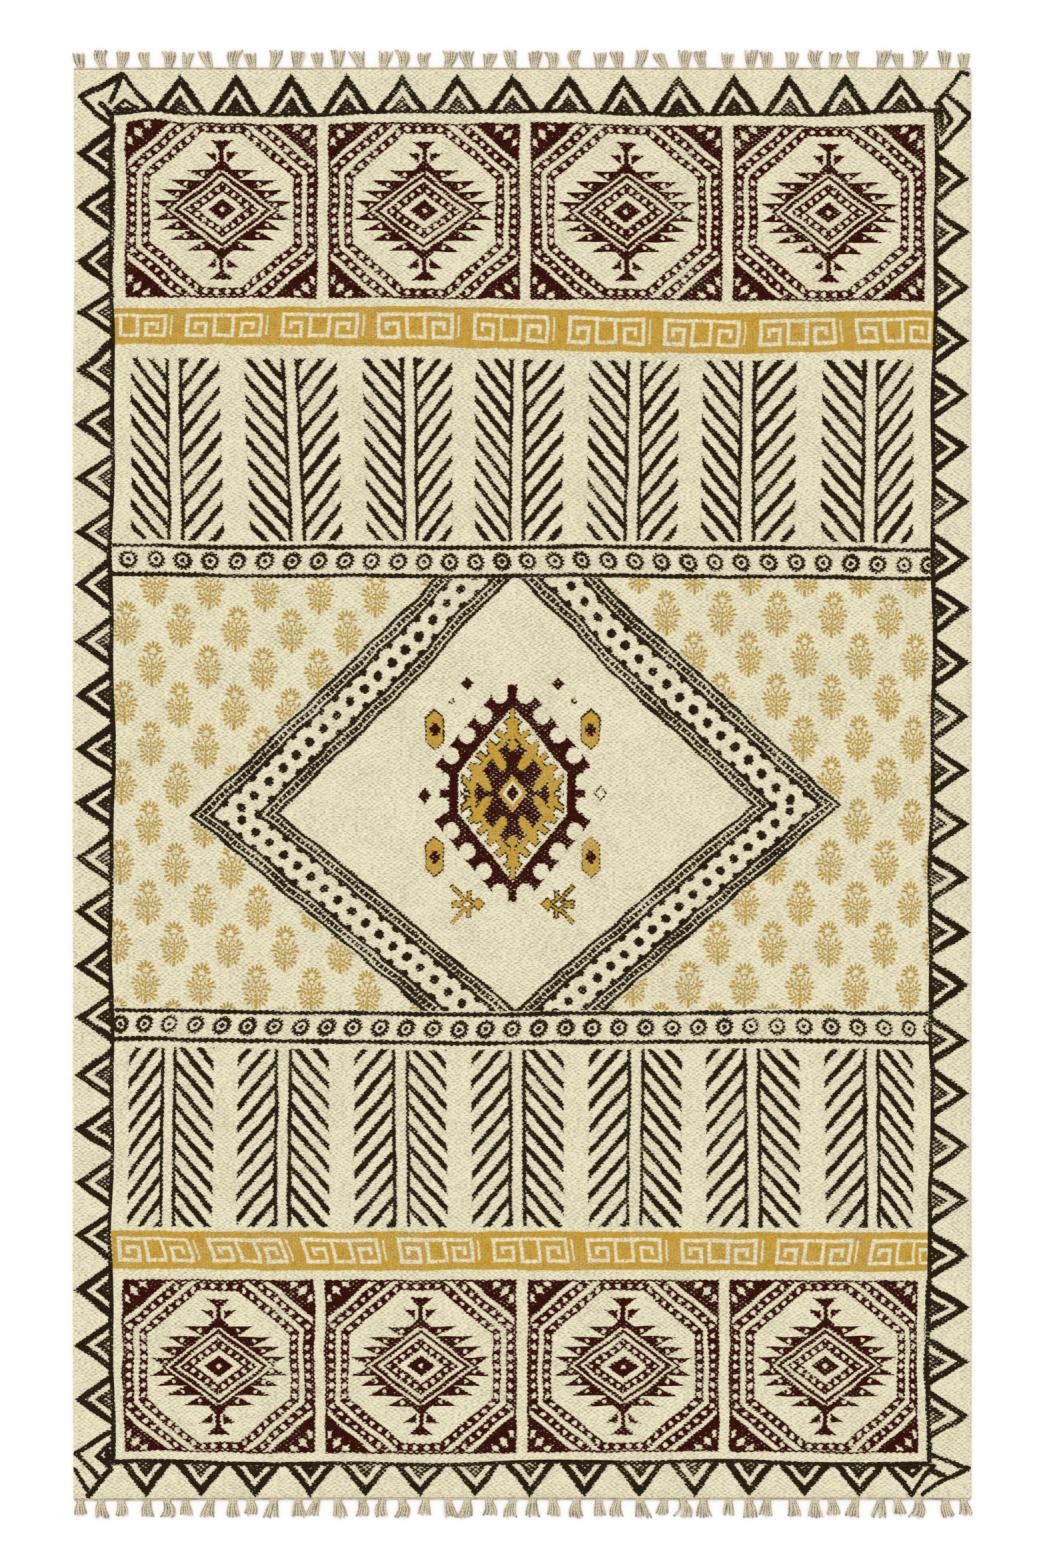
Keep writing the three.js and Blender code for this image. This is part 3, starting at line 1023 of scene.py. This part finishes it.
def weave(tree):
    """Plain weave: nubs of yarn in a wandering checker, fine streaks, and how light each place is, with
    painted shade in the hollows between nubs.
    """
    place, x, y = uv_fields(tree, "cloth")
    fine = noise(tree, stretched(tree, place, STREAK.stretch), STREAK.size, STREAK.detail)
    cloud = noise(tree, place, WEAVE.cloud, WEAVE.cloud_detail)
    slub = noise(tree, place, WEAVE.slub)
    columns = slant(x, cloud, math.pi / WEAVE.nub_x, WANDER.columns) + slub * WANDER.columns_slub
    rows = slant(y, cloud, math.pi / WEAVE.nub_y, WANDER.rows) + slub * WANDER.rows_slub
    nub = calculate("COSINE", columns) * calculate("COSINE", rows)
    blotch = slant(slub, cloud, TONE_AND_SHADE.slub, TONE_AND_SHADE.cloud, -TONE_AND_SHADE.middle)
    streaks = calculate("MULTIPLY_ADD", fine, TONE_AND_SHADE.fine, blotch)
    # The nub term is painted shade, darker in the hollows between nubs; the streaks and blotches are the
    # yarn's own uneven tone.
    tone = calculate("MULTIPLY_ADD", nub, TONE_AND_SHADE.nub, streaks, clamp=True)
    return Sizes(place=place, fine=fine, cloud=cloud, nub=nub, tone=tone)


def block_fields(tree, name, cotton):
    """A place on the motif's printing block, and for some motifs on the sprigs' rows, as a hand set it."""
    drift_x, drift_y = wobble(tree, cotton.place, DRIFT_SIZE, UNSTEADY[name])
    fields = []
    for map_name in ("block", "second") if name in TWO_PLACES else ("block",):
        _, x, y = uv_fields(tree, map_name)
        fields += [x + drift_x, y + drift_y]
    return fields


def inked(tree, cotton, shapes):
    """The cotton's colour with inks laid over it in turn, which take on the nubs before the hollows."""
    # The cotton's colour, with painted shade in the hollows between nubs.
    colour = mixed(tree, cotton.tone, CREAM_LOW, CREAM_HIGH)
    grain = slant(cotton.nub, cotton.fine, INK.nub, INK.fine)
    for ink_name in [each for each in INKS if each in shapes]:
        ink = INKS[ink_name]
        depth = calculate("MINIMUM", INK.spread - shapes[ink_name], ink.depth)
        taken = depth + slant(grain, cotton.cloud, ink.grain, ink.wear)
        cover = calculate("MULTIPLY_ADD", taken, INK.edge, 0.5, clamp=True)
        # Each ink's colour is darker in the weave's hollows: painted shade taken from the cotton's tone.
        colour = mixed(tree, cover, colour, mixed(tree, cotton.tone, ink.deep, ink.pale))
    return colour


def printed_cotton(name, motif):
    material, tree, shader = new_material("cotton " + name)
    cotton = weave(tree)
    shapes = motif(*block_fields(tree, name, cotton)) if motif else {}
    tree.links.new(inked(tree, cotton, shapes), shader.inputs["Base Color"])
    make_matt(shader, roughness=0.95, shine=0.04)
    relief = tree.nodes.new("ShaderNodeBump")
    relief.inputs["Strength"].default_value = RELIEF.strength
    relief.inputs["Distance"].default_value = RELIEF.depth * MM
    height = slant(cotton.nub, cotton.fine, RELIEF.nub, RELIEF.fine)
    tree.links.new(height.socket, relief.inputs["Height"])
    tree.links.new(relief.outputs["Normal"], shader.inputs["Normal"])
    return material


def yarn_material():
    """Undyed yarn, with painted shade: darker low down between its turns."""
    material, tree, shader = new_material("fringe yarn")
    place = tree.nodes.new("ShaderNodeTexCoord").outputs["Object"]
    fuzz = Field(tree, noise_node(tree, place, YARN_TONE.fuzz * MM, 2.0, "3D").outputs[0]) - 0.5
    patch = Field(tree, noise_node(tree, place, YARN_TONE.patch * MM, 1.0, "3D").outputs[0]) - 0.5
    parts = tree.nodes.new("ShaderNodeSeparateXYZ")
    tree.links.new(place, parts.inputs[0])
    # Painted shade: the lower a yarn lies, the darker it is made, as if shaded by the yarns above it.
    raised = Field(tree, parts.outputs["Z"]) * (YARN_TONE.by_height / MM) + YARN_TONE.lowest
    tone = calculate("ADD", slant(fuzz, patch, YARN_TONE.by_fuzz, YARN_TONE.by_patch), raised, clamp=True)
    tree.links.new(mixed(tree, tone, YARN_DARK, YARN_LIGHT), shader.inputs["Base Color"])
    make_matt(shader, roughness=0.95, shine=0.1)
    return material


# The fringe's yarns


def unit(vectors):
    return vectors / np.linalg.norm(vectors, axis=-1, keepdims=True)


def line_axes(lines):
    """Across and above each point of some lines that run mostly level. The lines are (line, step, xyz)."""
    ahead = unit(np.gradient(lines, axis=1))
    across = unit(np.cross(np.array([0.0, 0.0, 1.0]) + 0 * ahead, ahead))
    return across, np.cross(ahead, across)


def plied(lines, offset, turns):
    """Each line as two plies wound about it that many turns."""
    across, above = line_axes(lines)
    winding = np.linspace(0, turns * TURN, lines.shape[1])[None, :, None]
    swing = np.cos(winding) * across + np.sin(winding) * above
    return np.concatenate([lines + offset * swing, lines - offset * swing])


def tubes(lines, radii, sides):
    """Round tubes along some lines, with closed ends. The radii are one for each step."""
    across, above = line_axes(lines)
    around = np.linspace(0, TURN, sides, endpoint=False)
    ring = np.cos(around)[:, None] * across[:, :, None] + np.sin(around)[:, None] * above[:, :, None]
    places = lines[:, :, None] + np.asarray(radii)[None, :, None, None] * ring
    count, steps = lines.shape[:2]
    index = np.arange(count * steps * sides).reshape(count, steps, sides)
    after = np.roll(index, -1, axis=2)
    walls = np.stack([index[:, :-1], after[:, :-1], after[:, 1:], index[:, 1:]], -1).reshape(-1, 4)
    caps = np.concatenate([index[:, 0, ::-1], index[:, -1]])
    return places.reshape(-1, 3), [*walls.tolist(), *caps.tolist()]


def coils(middles):
    """A closed turn of yarn about each tassel's neck."""
    turn = np.linspace(0, TURN, COIL.steps, endpoint=False)
    around = np.linspace(0, TURN, COIL.sides, endpoint=False)
    out = np.stack([np.cos(turn), 0 * turn, np.sin(turn)], -1)
    lines = middles[:, None] + out * (COIL.half_width, 0.0, COIL.half_height)
    along_neck = np.array([0.0, 1.0, 0.0])
    ring = np.cos(around)[:, None] * out[:, None] + np.sin(around)[:, None] * along_neck
    places = lines[:, :, None] + COIL.radius * ring
    index = np.arange(places[..., 0].size).reshape(places.shape[:3])
    after = np.roll(index, -1, axis=2)
    following = np.roll(index, -1, axis=1)
    beyond = np.roll(after, -1, axis=1)
    walls = np.stack([index, after, beyond, following], -1).reshape(-1, 4)
    return places.reshape(-1, 3), walls.tolist()


def tassel_forms(phase, edge):
    """Each tassel's place, lean, bow and length, uneven from one to the next."""
    index = np.arange(FRINGE.tassels)
    pitch = 2 * (CLOTH.half_width - FRINGE.end_inset) / (FRINGE.tassels - 1)
    loose = np.where((index > 0) & (index < FRINGE.tassels - 1), 1.0, 0.0)
    wander = PLACE_WANDER.slow * np.sin(1.9 * index + phase)
    wander += PLACE_WANDER.quick * np.sin(4.3 * index + 2 * phase)
    shortness = 0.5 + 0.5 * np.sin(2.3 * index + 5 * phase)
    x = -CLOTH.half_width + FRINGE.end_inset + index * pitch + loose * wander
    return Sizes(
        x=x,
        edge=edge(x),
        lean=loose * FRINGE.lean * np.sin(2.7 * index + 3 * phase),
        bow=loose * FRINGE.bow * np.sin(3.4 * index + 4 * phase),
        length=FRINGE.reach * (1 - (1 - FRINGE.shortest) * shortness**2),
    )


def tassel_lines(forms, chance):
    """The yarns' middle lines: gathered at the knot, then spreading to uneven tips."""
    count = len(forms.x)
    each = (count, TASSEL.yarns)
    lane = np.linspace(-1, 1, TASSEL.yarns) + chance.uniform(-STRAY.lane, STRAY.lane, each)
    layer = np.arange(TASSEL.yarns) % 2 + chance.uniform(-STRAY.layer, STRAY.layer, each)
    full = FRINGE.reach + GATHER.solid_share * (forms.length - FRINGE.reach)
    tip = full[:, None] * chance.uniform(STRAY.shortest, 1.0, each)
    stray = chance.uniform(-STRAY.aside, STRAY.aside, each)
    stray *= np.where(chance.uniform(0, 1, each) < STRAY.wild_share, STRAY.wild, 1.0)
    lean = forms.lean + chance.uniform(-STRAY.lean, STRAY.lean, count)
    bow = forms.bow + chance.uniform(-STRAY.bow, STRAY.bow, count)

    share = np.linspace(0, 1, TASSEL.steps)
    root = (forms.edge + TASSEL.root)[:, None, None]
    y = root + (tip[..., None] - root) * share
    out = np.clip((y - root - FRINGE.knot_out) / (FRINGE.reach - FRINGE.knot_out), 0, 1)
    foot = np.clip(1 - (y - root) / FRINGE.knot_out, 0, 1) ** 2
    gather = GATHER.knot + GATHER.spread * out**GATHER.spread_power + GATHER.foot * foot
    arch = np.sin(math.pi * out)
    x = forms.x[:, None, None] + lane[..., None] * gather + stray[..., None] * out**GATHER.stray_power
    x = x + lean[:, None, None] * out + bow[:, None, None] * arch
    z = TASSEL.height + layer[..., None] * TASSEL.layer + TASSEL.arch * arch
    return np.stack([x, y, z], -1).reshape(-1, TASSEL.steps, 3)


def edge_cord(edge):
    """The twined cord that locks the cloth's end."""
    half = CLOTH.half_width - CORD.inset
    x = np.linspace(-half, half, CORD.steps)
    line = np.stack([x, edge(x) + CORD.out, 0 * x + CORD.height], -1)[None]
    radii = np.full(CORD.steps, YARN.radius)
    return tubes(plied(line, YARN.ply_offset, CORD.turns), radii, YARN.sides)


def joined(parts):
    places, faces, offset = [], [], 0
    for part_places, part_faces in parts:
        places.append(part_places)
        faces += [[corner + offset for corner in face] for face in part_faces]
        offset += len(part_places)
    return np.concatenate(places), faces


def fringe_parts(end):
    """One end's fringe, with the cloth's straight edge as the line y = 0 and the tassels running to +Y."""
    way = 1 if end == "top" else -1
    chance = np.random.default_rng(FRINGE_CHANCE[end])

    def edge(x):
        return -draw_in(end, way * x, CLOTH.half_width)

    forms = tassel_forms(FRINGE_PHASE[end], edge)
    share = np.linspace(0, 1, TASSEL.steps)
    radii = np.interp(share, (0, YARN.tip_from, 1), (YARN.radius, YARN.radius, YARN.tip_radius))
    plies = plied(tassel_lines(forms, chance), YARN.ply_offset, YARN.turns)
    parts = [tubes(plies, radii, YARN.sides), edge_cord(edge)]
    for out in (-COIL.apart, COIL.apart):
        middles = np.stack([forms.x, forms.edge + FRINGE.knot_out + out, 0 * forms.x + COIL.height], -1)
        parts.append(coils(middles))
    places, faces = joined(parts)
    places[:, 2] = np.maximum(places[:, 2], UNDERSIDE)
    return places * (way, way, 1) + (0, way * CLOTH.half_length, 0), faces


def add_object(name, mesh, *materials):
    item = bpy.data.objects.new(name, mesh)
    bpy.context.scene.collection.objects.link(item)
    for material in materials:
        mesh.materials.append(material)
    return item


def add_fringe(end, material):
    places, faces = fringe_parts(end)
    mesh = bpy.data.meshes.new("fringe yarns " + end)
    mesh.from_pydata(places * MM, [], faces)
    mesh.polygons.foreach_set("use_smooth", np.ones(len(faces), dtype=bool))
    mesh.update()
    return add_object("fringe_yarns_" + end, mesh, material)


# The studio


def add_floor():
    mesh = bpy.data.meshes.new("floor")
    reach = STUDIO.floor_reach
    corners = [(-reach, -reach, 0), (reach, -reach, 0), (reach, reach, 0), (-reach, reach, 0)]
    mesh.from_pydata(corners, [], [(0, 1, 2, 3)])
    material, _, shader = new_material("pale floor")
    shader.inputs["Base Color"].default_value = FLOOR
    make_matt(shader, roughness=0.9, shine=0.0)
    return add_object("floor", mesh, material)


def add_light():
    world = bpy.data.worlds.new("soft studio")
    world.use_nodes = True
    sky = world.node_tree.nodes["Background"]
    sky.inputs["Color"].default_value = (1.0, 1.0, 1.0, 1.0)
    sky.inputs["Strength"].default_value = STUDIO.sky
    bpy.context.scene.world = world
    lamp = bpy.data.lights.new("soft key", "SUN")
    lamp.energy = STUDIO.key
    lamp.angle = math.radians(STUDIO.key_softness)
    key = bpy.data.objects.new("soft key", lamp)
    key.rotation_euler = (*np.radians(STUDIO.key_tilt), 0)
    bpy.context.scene.collection.objects.link(key)


def add_camera():
    data = bpy.data.cameras.new("camera")
    data.sensor_fit = "VERTICAL"
    data.sensor_height = VIEW.sensor
    data.lens = VIEW.sensor * VIEW.distance / VIEW.frame_height
    data.clip_end = VIEW.clip_end
    camera = bpy.data.objects.new("camera", data)
    camera.location = (VIEW.across, VIEW.along, VIEW.distance)
    bpy.context.scene.collection.objects.link(camera)
    bpy.context.scene.camera = camera


bpy.context.scene.view_settings.view_transform = "Standard"
cotton = [printed_cotton(name, motif) for name, motif in MOTIFS.items()]
cloth = add_object("printed_cloth", cloth_mesh(), *cotton)
yarn = yarn_material()
fringes = {end: add_fringe(end, yarn) for end in FRINGE_PHASE}

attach(cloth, "root")
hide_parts("woven_field")
for end, fringe in fringes.items():
    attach(fringe, "root")
    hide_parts("fringe_" + end)
add_floor()
add_light()
add_camera()
